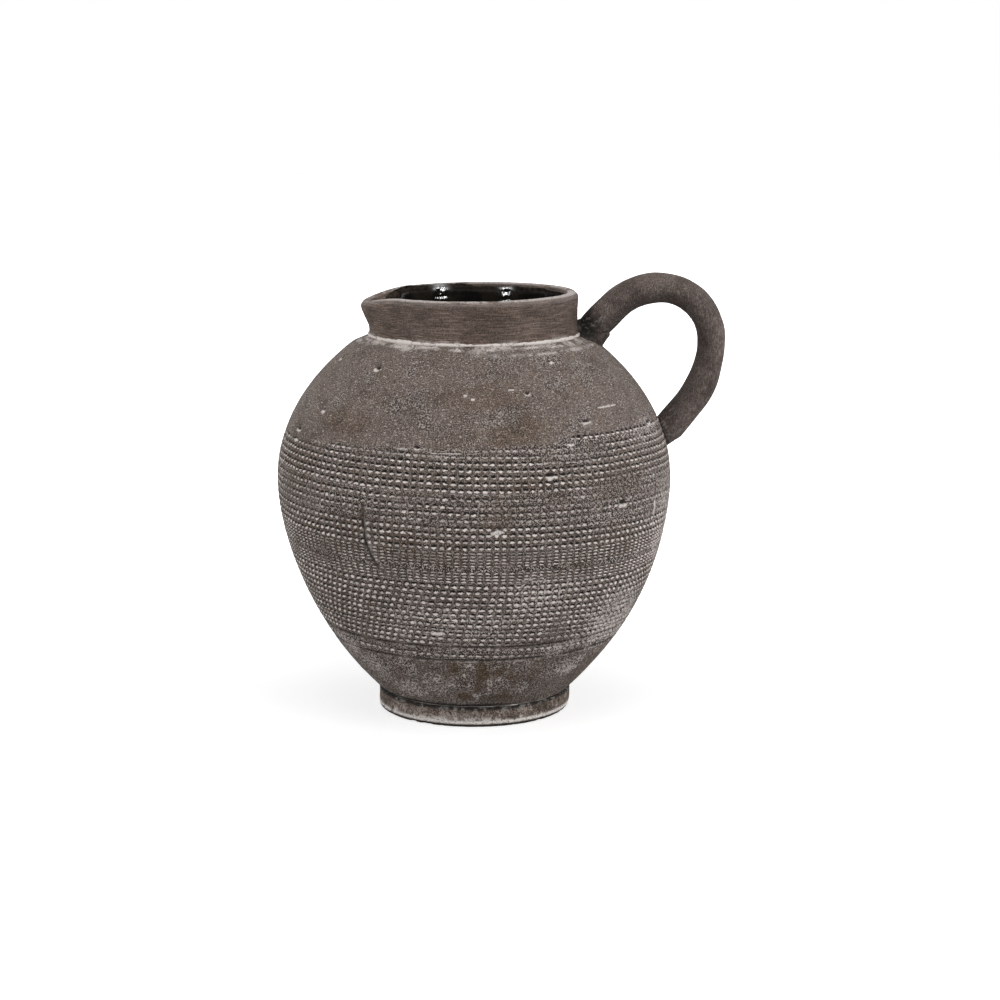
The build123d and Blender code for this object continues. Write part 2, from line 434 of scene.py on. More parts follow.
# Turn in degrees, height, half width, half height and strength of washed-out patches
WASHES = (
    (22, 88, 30, 14, 0.42),
    (-6, 72, 46, 14, 0.36),
    (54, 74, 26, 16, 0.5),
    (58, 58, 30, 18, 0.6),
    (74, 118, 26, 34, 0.5),
    (66, 176, 20, 10, 0.4),
    (-1.8, 44, 3.2, 4.5, 0.8),
    (-3.5, 37, 2.4, 4, 0.75),
    (-2, 29.6, 2.8, 4, 0.75),
    (1.5, 21.6, 3, 3.4, 0.6),
    (7.2, 31, 2.2, 8, 0.75),
    (-9.4, 29.8, 3.2, 4.4, 0.7),
    (10.8, 33, 2.6, 3.4, 0.8),
    (23, 27, 5, 7, 0.7),
    (20, 45, 8, 3, 0.6),
    (-18, 30, 12, 10, 0.45),
    (-32, 24, 14, 9, 0.56),
    (-46, 36, 16, 10, 0.54),
    (34, 53, 12, 7, 0.55),
    (43, 37, 14, 11, 0.72),
    (-60, 44, 16, 14, 0.52),
    (-76, 150, 14, 22, 0.35),
    (150, 100, 30, 22, 0.4),
    (-110, 80, 30, 18, 0.4),
    (112, 40, 20, 14, 0.5),
    (178, 34, 24, 10, 0.5),
)

# Turn in degrees, height, half width, half height and depth of single pits
PITS = (
    (-41.5, 213.4, 1.8, 1.3, 1.1),
    (-73, 214.4, 1.7, 1.2, 1),
    (-66.8, 175.6, 2.4, 0.9, 0.8),
    (22.2, 159.3, 2.2, 1.2, 1),
    (46.5, 139.1, 2.4, 1.3, 1),
    (37.5, 186, 2.2, 0.9, 0.9),
    (19.5, 202.4, 1.3, 0.9, 0.8),
    (70.2, 178.8, 2.4, 1, 0.9),
    (-16.2, 174.8, 1.6, 0.8, 0.6),
)

# Turn in degrees, height, half width and half height of pale chips and scuffs
PALE_CHIPS = (
    (-56.2, 187.2, 2, 1.2),
    (-66.2, 168.9, 1.5, 1),
    (0.2, 199.6, 1.3, 0.7),
    (-2.5, 201.4, 1, 0.5),
    (13.8, 204.2, 1.8, 0.4),
    (35, 216.2, 1.5, 1),
    (29.8, 174.4, 2.4, 0.8),
    (49.5, 191.5, 12, 0.25),
    (63.8, 130.7, 0.8, 5),
    (6.8, 128.3, 3.2, 1.2),
    (-20.5, 173.4, 4.5, 0.3),
    (-6.5, 171.9, 9, 0.3),
    (-12.2, 65.9, 3.2, 1.4),
)

# The same of slip smeared on the ledge
LEDGE_SMEARS = (
    (-41, 223.8, 4.6, 1.6),
    (-75, 224.2, 6, 1),
    (-8, 223.6, 2.6, 1.6),
    (9, 223.8, 2.4, 1.4),
    (31, 224, 6, 1.2),
    (44, 223.4, 5, 1.4),
    (56, 221.6, 6, 0.8),
    (-84, 222.6, 8, 1.8),
    (-60, 224.4, 5, 1.8),
    (-26, 224.4, 3, 1.8),
)


def lap_lines():
    """Along the whole spiral: the lap, the wheel's upper edge, each row's pressure and the travel."""
    numbers, tops, _, pressures = [np.array(part) for part in zip(*LAPS)]
    starts = run_at(BAND_TOP) - run_at(tops)
    laps = np.linspace(numbers[0], numbers[-1], SPIRAL_STEPS)
    upper = np.interp(laps, numbers, starts)
    held = np.concatenate([numbers - LAP_HOLD, numbers + LAP_HOLD])
    order = np.argsort(held)
    twice = np.concatenate([pressures, pressures])
    pressure = np.array([np.interp(laps, held[order], row[order]) for row in twice.T])
    middle = upper + ROW_PITCH * WHEEL_ROWS / 2
    radius = radius_at(np.interp(run_at(BAND_TOP) - middle, outside_run, outside[:, 1]))
    travel = np.concatenate([[0], np.cumsum(radius[1:] * np.diff(laps) * 2 * math.pi)])
    return laps, upper, pressure, travel


def rouletting(turn, down):
    """Each point's place across and along the rows, and the pressure of the wheel there."""
    laps, upper, pressure, travel = lap_lines()
    best, second, row_place, nick_place = np.zeros((4,) + down.shape)
    struck = {lap[0]: lap[2] for lap in LAPS}
    slant = COLUMN_SLANT * smooth(0.35, -0.45, turn) * smooth(-2.8, -2.0, turn)
    for lap, strikes in struck.items():
        place = lap + turn / (2 * math.pi)
        rows = (down - np.interp(place, laps, upper)) / ROW_PITCH
        row = np.clip(np.floor(rows), 0, WHEEL_ROWS - 1).astype(np.int64)
        under = (rows >= 0) & (rows < WHEEL_ROWS)
        spot = np.clip(np.searchsorted(laps, place), 0, len(laps) - 1)
        push = under * pressure[row, spot]
        if struck.get(lap + 1, strikes) != strikes:
            push = push * smooth(0, 0.35, math.pi - turn)
        if struck.get(lap - 1, strikes) != strikes:
            push = push * smooth(0, 0.35, math.pi + turn)
        harder = push > best
        second = np.where(harder, best, np.maximum(second, push))
        best = np.where(harder, push, best)
        row_place = np.where(harder, rows * strikes + LAP_ROWS * lap, row_place)
        nicks = np.interp(place, laps, travel) / NICK_PITCH
        if lap >= FIRST_SLANTED_LAP:
            nicks = nicks + slant * row
        nick_place = np.where(harder, nicks, nick_place)
    return row_place, nick_place, best * smooth(0, 0.06, best - second)


def nick_depth(row_place, nick_place, press):
    """Depth of the nicks: small oval holes, deepest above the middle of each row."""
    row = np.floor(row_place).astype(np.int64)
    nick = np.floor(nick_place).astype(np.int64)
    uneven = 0.7 + 0.5 * hashed(11, row, nick)
    across = (nick_place - nick - 0.5) / 0.36
    down = (row_place - row - 0.46) / 0.26
    hole = smooth(1.25, 0.45, np.hypot(across, down))
    lip = bump(row_place - row, 0.82, 0.14) * smooth(1.25, 0.7, np.abs(across))
    return press * uneven * (hole - 0.15 * lip)


def oval_place(turn, along, angle, level, half_width, half_height):
    """How far each point is beside and above the middle of an oval mark, in halves of its size."""
    side = turn_gap(turn, math.radians(angle)) * radius_at(level) / half_width
    lift = (along - run_at(level)) / half_height
    return side, lift


def body_relief(turn, height, along, points):
    """How far each point stands off the plain curve, and the values that colour it."""
    wide, middle, patch, blot, grain, fine = noises(points, 1, 60, 14, 26, 9, 2.4, 1.15)
    ridged = noise(points * np.array([0.12, 0.12, 1]), 1.6, 7)

    # Washed-out patches and brown stains, broken up by the grain
    below_band = smooth(52, 44, height)
    wash = 0.36 * smooth(-0.2, 0.6, blot + 0.5 * patch + 0.3 * grain) * below_band
    stain = 0.46 * smooth(56, 44, height) * smooth(-0.8, 0.5, patch + 0.5 * blot + 0.3 * grain)
    stain = stain * (1 - 0.6 * smooth(-0.25, -0.5, turn))
    for amounts, places in ((wash, WASHES), (stain, STAINS)):
        for *oval, strength in places:
            reach = np.hypot(*oval_place(turn, along, *oval)) + 0.35 * blot + 0.25 * grain
            np.maximum(amounts, strength * smooth(1.3, 0.5, reach), out=amounts)
    wash = wash * (1 - 0.8 * stain)

    # Rows of nicks, rubbed away in places and along one upright scar
    wobble = 0.5 * noise(points, 45, 8) + 0.2 * noise(points, 16, 9)
    down = run_at(BAND_TOP) - along + wobble
    row, nick, press = rouletting(turn, down)
    top_edge = 5 * (1 - np.cos(turn - math.radians(22)))
    top_edge = top_edge - 4.5 * smooth(0.45, 0.6, turn) * smooth(2.6, 2.0, turn)
    band = smooth(-0.8, 1.2, down - top_edge + 1.5 * blot)
    band = band * smooth(BAND_BOTTOM - 1, BAND_BOTTOM + 3, height + 2 * patch)
    scar = np.radians(SCAR_TURN + 0.6 * np.abs((height - SCAR_MIDDLE) / SCAR_BOW) ** 3)
    scarred = smooth(98, 108, height) * smooth(146, 137, height)
    scar_edge = scarred * bump(turn, scar + 0.02, 0.01)
    rubbed = scarred * bump(turn, scar, 0.011)
    bare = smooth(0.55, 0.85, patch + 0.5 * blot)
    band = band * (1 - 0.9 * rubbed) * (1 - 0.5 * bare)
    leaning = bump(height, 152, 9) * (0.5 * smooth(0.1, -0.4, turn) - 0.4 * smooth(0.4, 0.9, turn))
    leaning = leaning - 0.45 * bump(height, 128, 7) * smooth(0.35, 0.75, turn) * smooth(2.6, 2.2, turn)
    leaning = leaning + 0.45 * bump(height, 76, 15) * smooth(0.6, -0.1, turn) * smooth(-2.8, -2.2, turn)
    press = press * band * (1 + leaning) * (1 + 0.35 * patch + 0.35 * blot)
    press = np.clip(press * (1 - 0.45 * stain), 0, 1)
    stand = -NICK_DEPTH * nick_depth(row, nick, press)
    mess = band * np.clip(1.05 - press + 0.3 * blot, 0.25, 0.9)
    stand = stand + mess * (0.16 * fine + 0.1 * grain) - 0.5 * rubbed
    pale = 0.35 * scar_edge * smooth(-0.4, 0.3, fine)
    dark = rubbed * smooth(-0.8, 0.0, fine + 0.5 * grain)

    # Incised lines
    for line in INCISED_LINES:
        wavy = line + 0.5 * noise(points, 30, 15) + 0.2 * noise(points, 8, 16)
        cut = bump(height, wavy, 0.6) * smooth(-0.9, 0.0, blot)
        stand = stand - 0.65 * cut
        dark = np.maximum(dark, 1.1 * cut)
        press = press * (1 - bump(height, wavy, 1.5))
        mess = mess * (1 - 0.6 * bump(height, wavy, 1.2))
        pale = np.maximum(pale * (1 - cut), 0.4 * bump(height, wavy - 1.3, 0.5) * smooth(-0.1, 0.6, grain))

    # Pits and chips
    # Each pit is filled with painted shade; the pale rim below it is partly slip and partly a painted
    # highlight on its lit lower edge.
    for *oval, pit_depth in PITS:
        side, lift = oval_place(turn, along, *oval)
        hollow = smooth(1.35, 0.85, np.hypot(side, lift) + 0.35 * fine)
        stand = stand - pit_depth * hollow
        dark = np.maximum(dark, hollow)
        rim = smooth(1.5, 0.8, np.hypot(0.9 * side, lift + 1.3) + 0.5 * fine) * (1 - hollow)
        pale = np.maximum(pale * (1 - hollow), rim)
        press = press * (1 - hollow)
        mess = mess * (1 - hollow)
    for oval in PALE_CHIPS:
        side, lift = oval_place(turn, along, *oval)
        chip = smooth(1.15, 0.75, np.hypot(side, lift) + 0.4 * fine + 0.3 * grain)
        # A painted shadow lies along the upper edge of each chip.
        over = smooth(1.15, 0.8, np.hypot(side, lift - 1.1) + 0.4 * fine) * (1 - chip)
        pale = np.maximum(pale * (1 - over), 1.2 * chip)
        dark = np.maximum(dark, 0.6 * over)
        stand = stand + 0.12 * chip
    for oval in LEDGE_SMEARS:
        side, lift = oval_place(turn, along, *oval)
        smear = smooth(1.4, 0.2, np.hypot(0.7 * side, lift) + 0.5 * fine + 0.5 * grain + 0.3 * blot)
        pale = np.maximum(pale, 0.8 * smear)

    # Turning marks, lumps of the hand-made wall, and the bowl's fuller right side
    stand = stand + 0.4 * wide + 0.14 * middle + 0.06 * grain
    stand = stand + (1 - band) * (0.05 * ridged + 0.05 * fine)
    stand = stand + 0.7 * np.sin(turn) * bump(height, 75, 32)

    # Slip smeared on the ledge and along the shoulder's break
    broken = smooth(0.1, 0.6, blot + 0.6 * grain + 0.4 * fine) * smooth(-0.2, 0.5, turn)
    pale = np.maximum(pale, 0.6 * broken * bump(height, shoulder_height + 0.3, 0.6))
    smeared = smooth(-0.1, 0.5, 0.8 * blot + 0.4 * grain + 0.4 * fine)
    smeared = smeared * smooth(seat_height - 3.4, seat_height - 0.4, height + 1.5 * middle)
    pale = np.maximum(pale, 0.8 * smeared)

    # Crumbs and scratches outside the rows, and a fainter tint of the band low down
    scratched = 0.04 + 0.5 * smooth(0.1, 0.8, blot + 0.6 * patch + 0.3 * grain) + 0.4 * below_band
    mess = np.maximum(mess, (1 - band) * scratched) * (1 - 0.6 * stain)
    band = band * (1 - 0.55 * smooth(104, 78, height))

    # Shade in the joint over the foot, deepest in front
    joint = smooth(3.2, 1.4, height - bowl_bottom + 0.5 * grain) * smooth(0.75, 0.2, turn_gap(turn, -0.15))
    dark = np.maximum(dark, joint)
    values = {"pale": pale, "dark": dark, "wash": wash, "stain": stain}
    values |= {"press": press, "mess": mess, "band": band}
    values = {key: np.clip(amounts, 0, 1) for key, amounts in values.items()}
    return stand, values | {"row": row, "nick": nick}


def spaced_runs(start, end):
    """Lengths up the body from start to end, close together where the nicks are."""
    runs = [start]
    while runs[-1] < end:
        height = np.interp(runs[-1], outside_run, outside[:, 1])
        inside_band = BAND_BOTTOM - 4 < height < BAND_TOP + 4
        runs.append(runs[-1] + (BAND_STEP if inside_band else PLAIN_STEP))
    runs = np.array(runs)
    return start + (runs - start) * (end - start) / (runs[-1] - start)


def make_body():
    """The bowl and the dome, cut from one surface so that the ornament runs across the joint."""
    low_runs = spaced_runs(0, belly_run)
    high_runs = spaced_runs(belly_run, outside_run[-1])
    runs = np.concatenate([low_runs, high_runs[1:]])
    curve = line_at(outside, runs)
    slope = unit(np.gradient(curve, runs, axis=0))
    turn = turns(BODY_COLUMNS)
    radius = curve[:, :1]
    height = curve[:, 1:]
    points = placed(turn, radius, height)
    whole = [np.broadcast_to(part, points.shape[:2]) for part in (turn, height, runs[:, None])]
    stand, named = body_relief(*whole, points)
    stand = stand * smooth(0, 1.5, whole[2]) * smooth(0, 4, outside_run[-1] - whole[2])
    points = placed(turn, radius + stand * slope[:, 1:], height - stand * slope[:, :1])

    # Normals of the whole surface, so that the two pieces shade as one where they meet
    by_turn = np.roll(points, -1, axis=1) - np.roll(points, 1, axis=1)
    normals = unit(np.cross(by_turn, np.gradient(points, axis=0)))

    inner_bowl, inner_dome, floor_radius, throat = inside_corners(bowl_bottom)
    film_radius = belly_radius - butted_edge
    inner_belly = belly_radius - body_wall
    bowl_rest = np.concatenate([
        [[film_radius, belly_height]],
        [[film_radius, belly_height - film_half]],
        [[inner_belly, belly_height - film_half]],
        evenly(inner_bowl[::-1], INNER_STEP)[1:],
        [[floor_radius, bowl_bottom]],
    ])
    dome_rest = np.concatenate([
        [[neck_bore, seat_height]],
        [[neck_bore, throat]],
        evenly(inner_dome[::-1], INNER_STEP)[:-1],
        [[inner_belly, belly_height + film_half]],
        [[film_radius, belly_height + film_half]],
        [[film_radius, belly_height]],
    ])
    joint = len(low_runs) - 1
    pieces = []
    for name, part, rest, border in (
        ("jug_bowl", slice(0, joint + 1), bowl_rest, joint),
        ("jug_dome", slice(joint, None), dome_rest, 0),
    ):
        front = points[part]
        back = spun(turn, rest)
        grid = np.concatenate([front, back])
        empty = np.zeros(back.shape[:2])
        values = {key: np.concatenate([amounts[part], empty]) for key, amounts in named.items()}
        corner_rows = [0, len(front) - 1] + list(range(len(front), len(grid)))
        piece = add_rings(name, grid, None, corner_rows, values)
        held = np.zeros((len(grid), BODY_COLUMNS, 3), np.float32)
        held[border] = normals[joint]
        piece.data.normals_split_custom_set_from_vertices(held.reshape(-1, 3))
        pieces.append(piece)
    return pieces


# Foot

FOOT_ROUND = 2.0
FOOT_TOP_ROUND = 0.7
FOOT_SLIP_BORE = 30.0


def make_foot():
    """The solid foot, with a worn lower edge and small chips; a painted highlight runs along the lower
    edge, with painted shade under it and under the bowl's edge at the top.
    """
    low_corner = np.array([foot_radius - FOOT_ROUND, FOOT_ROUND])
    top_corner = np.array([foot_radius - FOOT_TOP_ROUND, foot_height - FOOT_TOP_ROUND])
    low_arc = arc(low_corner, FOOT_ROUND, -math.pi / 2, 0, 9)
    top_arc = arc(top_corner, FOOT_TOP_ROUND, 0, math.pi / 2, 6)
    bottom = np.array([[8, 0], [20, 0], [32, 0], [42, 0], [49, 0]])
    top = np.array([[foot_radius - 4, foot_height], [40, foot_height], [15, foot_height]])
    side = evenly(np.array([low_arc[-1], top_arc[0]]), 0.55)
    curve = np.concatenate([bottom, low_arc, side[1:-1], top_arc, top])
    turn = turns(FOOT_COLUMNS)
    points = spun(turn, curve)
    height = np.broadcast_to(curve[:, 1:], points.shape[:2])
    shown = np.zeros((len(curve), 1))
    shown[len(bottom):-len(top)] = 1
    blot = 0.6 * noise(points, 8, 21) + 0.6 * noise(points, 4.4, 28)
    grain, fine = noises(points, 22, 2.4, 1.2)
    chipped = smooth(0.25, 0.75, blot + 0.35 * grain) * bump(height, 0.4, 2.4)
    worn = smooth(0.2, 1.3, np.sin(turn - 0.35)) * bump(height, 0.6, 2.6)
    stand = 0.3 * blot + 0.16 * grain + 0.1 * fine - 0.8 * chipped - 1.1 * worn
    pale = 0.5 * smooth(0.1, 0.5, 0.45 * blot + 0.5 * grain + 0.7 * fine)
    pale = pale * (0.45 + 0.55 * smooth(8.5, 4.0, height + 2.5 * blot))
    low_patch = smooth(0.1, 0.5, 0.8 * blot + 0.5 * grain + 0.4 * fine) * smooth(7.5, 4.0, height)
    pale = np.maximum(pale, 0.8 * low_patch)
    # A pale line low on the foot is partly a worn edge and partly a painted highlight on its rounded lower
    # edge.
    pale = np.maximum(pale, 1.4 * bump(height, 3.0, 0.95) * smooth(-0.9, -0.2, 0.6 * grain + 0.5 * blot))
    dark = 0.6 * smooth(0.1, 0.6, -0.6 * blot - 0.5 * grain + 0.6 * fine)
    # Painted shadow under the bowl's edge at the top of the foot, and painted shade on the rounded edge
    # under the pale line.
    dark = np.maximum(dark, smooth(foot_height - 2.6, foot_height - 0.9, height + 0.15 * grain))
    dark = np.maximum(dark, 0.9 * smooth(2.4, 1.7, height))
    pale = pale * (1 - smooth(2.2, 1.7, height))
    radius = curve[:, :1] + np.where(curve[:, 1:] > 0, stand, 0) * shown
    rise = curve[:, 1:] + np.where(height < 2.0, 0.3 * (chipped + worn), 0) * shown
    grid = placed(turn, radius, rise)
    poles = np.array([[0, 0, 0], [0, 0, foot_height]])
    return add_rings("jug_foot", grid, poles, (), {"pale": pale * shown, "dark": dark * shown})


def make_foot_slip():
    """The slip in the foot's joint, deep in shadow apart from bits squeezed out of it."""
    low, high = edges("foot_slip_seam")
    turn = turns(FOOT_COLUMNS)
    ring = placed(turn, high[0], low[2])
    wide, fine, torn, grain = noises(ring, 24, 9, 2.5, 6, 1.8)
    squeezed = smooth(0.15, 0.55, wide + 0.35 * fine)
    by_handle = bump(turn, math.radians(25), 0.4)
    squeezed = np.maximum(0.25 * squeezed, by_handle * smooth(-0.3, 0.5, torn + 0.5 * grain))
    outer = high[0] + 1.3 * squeezed
    inner = np.full_like(outer, FOOT_SLIP_BORE)
    radius = np.concatenate([inner, outer - 0.2, outer + 0.1, outer - 0.2, inner])
    levels = np.array([low[2], low[2], (low[2] + high[2]) / 2, high[2], high[2]])
    return add_rings("foot_slip", placed(turn, radius, levels[:, None]), None, (0, 4))


# Neck

def lip_share(turn):
    """How much of the pouring lip a turn has: 1 at its tip, 0 outside it."""
    gap = np.abs(turn_gap(turn, LIP_TURN)) / lip_half_angle
    return np.where(gap < 1, np.cos(np.minimum(gap, 1) * math.pi / 2) ** 2, 0)


def three_point_arc(first, middle, last, count):
    """Points on the arc through three points."""
    matrix = 2 * np.array([middle - first, last - first])
    centre = np.linalg.solve(matrix, [middle @ middle - first @ first, last @ last - first @ first])
    start = math.atan2(*(first - centre)[::-1])
    stop = math.atan2(*(last - centre)[::-1])
    if stop < start:
        stop += 2 * math.pi
    size = np.linalg.norm(first - centre)
    return arc(centre, size, start, stop, count)


NECK_OUTSIDE = 46
NECK_RIM = 26
NECK_INSIDE = 26


def neck_line(lip):
    """The neck's section with its rim drawn out by a share of the lip: up, over and down."""
    edge_height = rim_height - rim_crown
    outer = np.array([neck_radius - rim_setback + lip_reach * lip, edge_height - lip_drop * lip])
    inner_drop = lip_drop * lip * lip_reach / lip_throat
    inner = np.array([neck_bore + lip_throat * lip, edge_height - inner_drop])
    crest_radius = neck_radius - neck_wall / 2 + lip_throat * lip
    crest = np.array([crest_radius, rim_height - lip_drop * lip])
    up = bezier(
        (neck_radius, neck_foot),
        (neck_radius - neck_waist, neck_foot + neck_bend),
        (outer[0] - rim_setback, outer[1] - neck_bend),
        outer,
        count=NECK_OUTSIDE,
    )
    over = three_point_arc(outer, crest, inner, NECK_RIM)
    throat = np.array([neck_bore, rim_height - lip_depth])
    down = bezier(inner, (neck_bore, (throat[1] + inner[1]) / 2), throat, count=NECK_INSIDE)
    return np.concatenate([up, over[1:-1], down])


def neck_surface(columns):
    """The neck's sections all round, as radius and height."""
    shares = lip_share(turns(columns))[0]
    return np.stack([neck_line(share) for share in shares], axis=1)


def make_neck():
    """The neck, with turning marks, a painted highlight along its rim and the pouring lip."""
    turn = turns(NECK_COLUMNS)
    section = neck_surface(NECK_COLUMNS)
    level = section[..., 1]
    plain = placed(turn, section[..., 0], level)
    out = unit(np.gradient(section, axis=0))
    wide, middle, grain, fine = noises(plain, 31, 40, 11, 2.4, 1.2)
    ridged = noise(plain * np.array([0.06, 0.06, 1]), 1.1, 35)
    stand = 0.25 * wide + 0.12 * middle + 0.05 * grain + 0.03 * fine + 0.07 * ridged
    share = np.clip((level - neck_foot) / (rim_height - neck_foot), 0, 1)
    radius = section[..., 0] + stand * out[..., 1]
    height = level - stand * out[..., 0] + 0.5 * np.sin(turn) * share
    past_edge = np.arange(len(section))[:, None] - NECK_OUTSIDE
    # Painted highlight along the rim's crest and its outer rounding, where the overhead light catches it.
    rim_highlight_rows = smooth(3, 7, past_edge) * smooth(20, 15, past_edge)
    pale = 0.95 * rim_highlight_rows * smooth(-1.0, 0.2, middle + 0.5 * grain + 0.4 * fine)
    pale = pale * (1 - 0.6 * lip_share(turn))
    pale = np.maximum(pale, 0.16 * bump(past_edge, 4, 5))
    smudge = smooth(3.2, 0.4, level - neck_foot) * smooth(-0.3, 0.6, middle + 0.6 * grain)
    pale = np.maximum(pale, 0.6 * smudge)
    dark = 0.35 * smooth(0.3, 0.9, -ridged + 0.5 * middle)
    # Painted shade on the neck beside the handle's upper root.
    by_handle = bump(turn_gap(turn, HANDLE_TURN), 0, 0.3) * bump(level, 232, 9)
    dark = np.maximum(dark, by_handle * smooth(-0.8, 0.1, middle + 0.5 * grain))
    inside = smooth(15, 22, past_edge)
    dark = np.maximum(dark, 0.55 * inside * smooth(-0.9, 0.3, middle + 0.5 * grain))
    grid = np.concatenate([placed(turn, radius, height), placed(turn, neck_bore, neck_foot)])
    empty = np.zeros((1, NECK_COLUMNS))
    values = {"pale": np.concatenate([pale, empty]), "dark": np.concatenate([dark, empty])}
    return add_rings("jug_neck", grid, None, (0, len(grid) - 1), values)


# Turn in degrees, swelling and width of lumps in the bead of slip
SLIP_LUMPS = ((-41, 0.75, 0.09), (48, 0.3, 0.4), (-68, 0.3, 0.4))


def make_neck_slip():
    """The slip under the neck, with an uneven pale bead squeezed out round its root."""
    turn = turns(NECK_SLIP_COLUMNS)
    ring = placed(turn, neck_radius, neck_foot)
    wide, middle, fine = noises(ring, 41, 15, 5, 1.6)
    size = 0.9 + 0.5 * wide + 0.4 * middle + 0.25 * fine
    for angle, swell, width in SLIP_LUMPS:
        size = size + swell * bump(turn, math.radians(angle), width)
    size = np.clip(size, 0.35, 1.9)
    angles = np.linspace(-0.35 * math.pi, 0.62 * math.pi, 13)[:, None]
    radius = neck_radius - 0.35 + size * 1.15 * np.cos(angles)
    height = neck_foot - 0.25 + 0.1 * size + size * np.sin(angles)
    ledge = seat_height - (radius - neck_radius) * ledge_rise / ledge_width
    height = np.maximum(height, ledge - 0.4)
    bore, hidden, low, high = [
        np.full((1, NECK_SLIP_COLUMNS), value)
        for value in (neck_bore, neck_radius - 2.2, seat_height, neck_foot)
    ]
    radius = np.concatenate([bore, hidden, radius, hidden, bore])
    height = np.concatenate([low, low, height, high, high])
    grid = placed(turn, radius, height)
    return add_rings("neck_slip", grid, None, (0, 1, len(grid) - 2, len(grid) - 1))


# Glaze inside

GLAZE_THICKNESS = 0.6
BORE_TOP = 230.0
SKIN_START = 231.0

# Turn in degrees and width of the shining runs at the back of the mouth
GLAZE_RUNS = ((-157, 0.075), (159, 0.065))


def make_glaze():
    """The black glaze over the inside, with an uneven edge below the rim."""
    turn = turns(GLAZE_COLUMNS)
    floor = foot_height
    inner_bowl, inner_dome, floor_radius, throat = inside_corners(floor)
    line = np.concatenate([
        [[6, floor], [20, floor], [floor_radius - 4, floor]],
        evenly(np.concatenate([[[floor_radius, floor]], inner_bowl]), 6),
        evenly(inner_dome, 4)[1:],
        evenly(np.array([inner_dome[-1], [neck_bore, throat], [neck_bore, BORE_TOP]]), 1.2)[1:],
    ])
    tangent = unit(np.gradient(line, axis=0))
    inward = np.stack([-tangent[:, 1], tangent[:, 0]], axis=-1)
    wall = spun(turn, line)
    face = spun(turn, line + GLAZE_THICKNESS * inward)

    # Above the bore the skin follows the neck's inside up to an uneven edge
    section = neck_surface(GLAZE_COLUMNS)[::-1][:NECK_INSIDE + 10]
    share = lip_share(turn)[0]
    rim = placed(turn, neck_bore, 240.0)
    edge = rim_height - 0.55 + 0.15 * noise(rim, 16, 51)[0] + 0.12 * noise(rim, 5, 52)[0]
    edge = edge - lip_drop * share - 1.1 * smooth(0, 0.4, share) - 5.0 * smooth(0.35, 0.9, share)
    steps = np.linspace(0, 1, 44)[:, None]
    rise = SKIN_START + (edge - SKIN_START) * steps
    columns = [np.interp(rise[:, i], section[:, i, 1], section[:, i, 0]) for i in range(GLAZE_COLUMNS)]
    radius = np.stack(columns, axis=1)
    thin = GLAZE_THICKNESS * np.sqrt(np.clip(1 - steps ** 6, 0, 1)) - 0.08 * steps
    upper_wall = placed(turn, radius + 0.3, rise)
    upper_face = placed(turn, radius - thin, rise)
    ripple = noise(upper_face * np.array([0.09, 0.09, 1]), 1.5, 55)
    runs = sum(bump(turn_gap(turn, math.radians(angle)), 0, width) for angle, width in GLAZE_RUNS)
    lumps = 0.04 * noise(upper_face, 12, 53) + (0.04 + 0.3 * runs) * ripple
    lumps = np.minimum(lumps, 0.35) * (1 - steps ** 4)
    upper_face[..., :2] += unit(upper_face[..., :2]) * lumps[..., None]
    grid = np.concatenate([wall, upper_wall, upper_face[::-1], face[::-1]])
    below = grid[..., 2] - edge
    by_lip = smooth(0.0, 0.25, share)
    thin = np.maximum(0.6 * smooth(-6.0, -1.0, below), by_lip * smooth(-9.0, -1.5, below))
    spilt = runs * smooth(225, 232, grid[..., 2])
    thin = thin * (1 - np.clip(1.2 * spilt, 0, 1))
    poles = np.array([[0, 0, floor], [0, 0, floor + GLAZE_THICKNESS]])
    values = {"thin": thin, "run": np.clip(spilt, 0, 1)}
    return add_rings("glaze_skin", grid, poles, (len(wall) + len(steps) - 1,), values)


# Handle

def rounded(points, radii):
    """A line through points, with its corners rounded."""
    path = [np.array([points[0]])]
    for before, corner, after, radius in zip(points, points[1:], points[2:], radii):
        back = (before - corner) / np.linalg.norm(before - corner)
        ahead = (after - corner) / np.linalg.norm(after - corner)
        half = math.acos(np.clip(back @ ahead, -1, 1)) / 2
        middle = back + ahead
        centre = corner + middle / np.linalg.norm(middle) * radius / math.sin(half)
        start = corner + back * radius / math.tan(half) - centre
        stop = corner + ahead * radius / math.tan(half) - centre
        first = math.atan2(start[1], start[0])
        sweep = math.atan2(stop[1], stop[0]) - first
        sweep = (sweep + math.pi) % (2 * math.pi) - math.pi
        path.append(np.array([centre + polar(first + sweep * t, radius) for t in np.linspace(0, 1, 40)]))
    path.append(np.array([points[-1]]))
    return np.concatenate(path)


def handle_line():
    """The handle's centre line from one root to the other."""
    slope = ledge_rise / ledge_width
    upper = np.array([neck_radius + handle_root_gap, seat_height - handle_root_gap * slope])
    lower_height = belly_height + lower_root_height
    lower = np.array([radius_at(lower_height), lower_height])
    top = coil_high[2] - coil_radius
    side = coil_high[0] - coil_radius
    first = np.array([upper[0] + (top - upper[1]) / math.tan(handle_rise_angle), top])
    corner = np.array([side, top])
    last = np.array([side, lower[1] + (side - lower[0]) * math.tan(handle_fall_angle)])
    top_run = side - first[0]
    side_run = top - last[1]
    corner_radius = corner_share * min(top_run, side_run)
    first_radius = bend_fill * (top_run - corner_radius) / math.tan(handle_rise_angle / 2)
    last_radius = bend_fill * (side_run - corner_radius) / math.tan((math.pi / 2 - handle_fall_angle) / 2)
    return rounded([upper, first, corner, last, lower], [first_radius, corner_radius, last_radius])


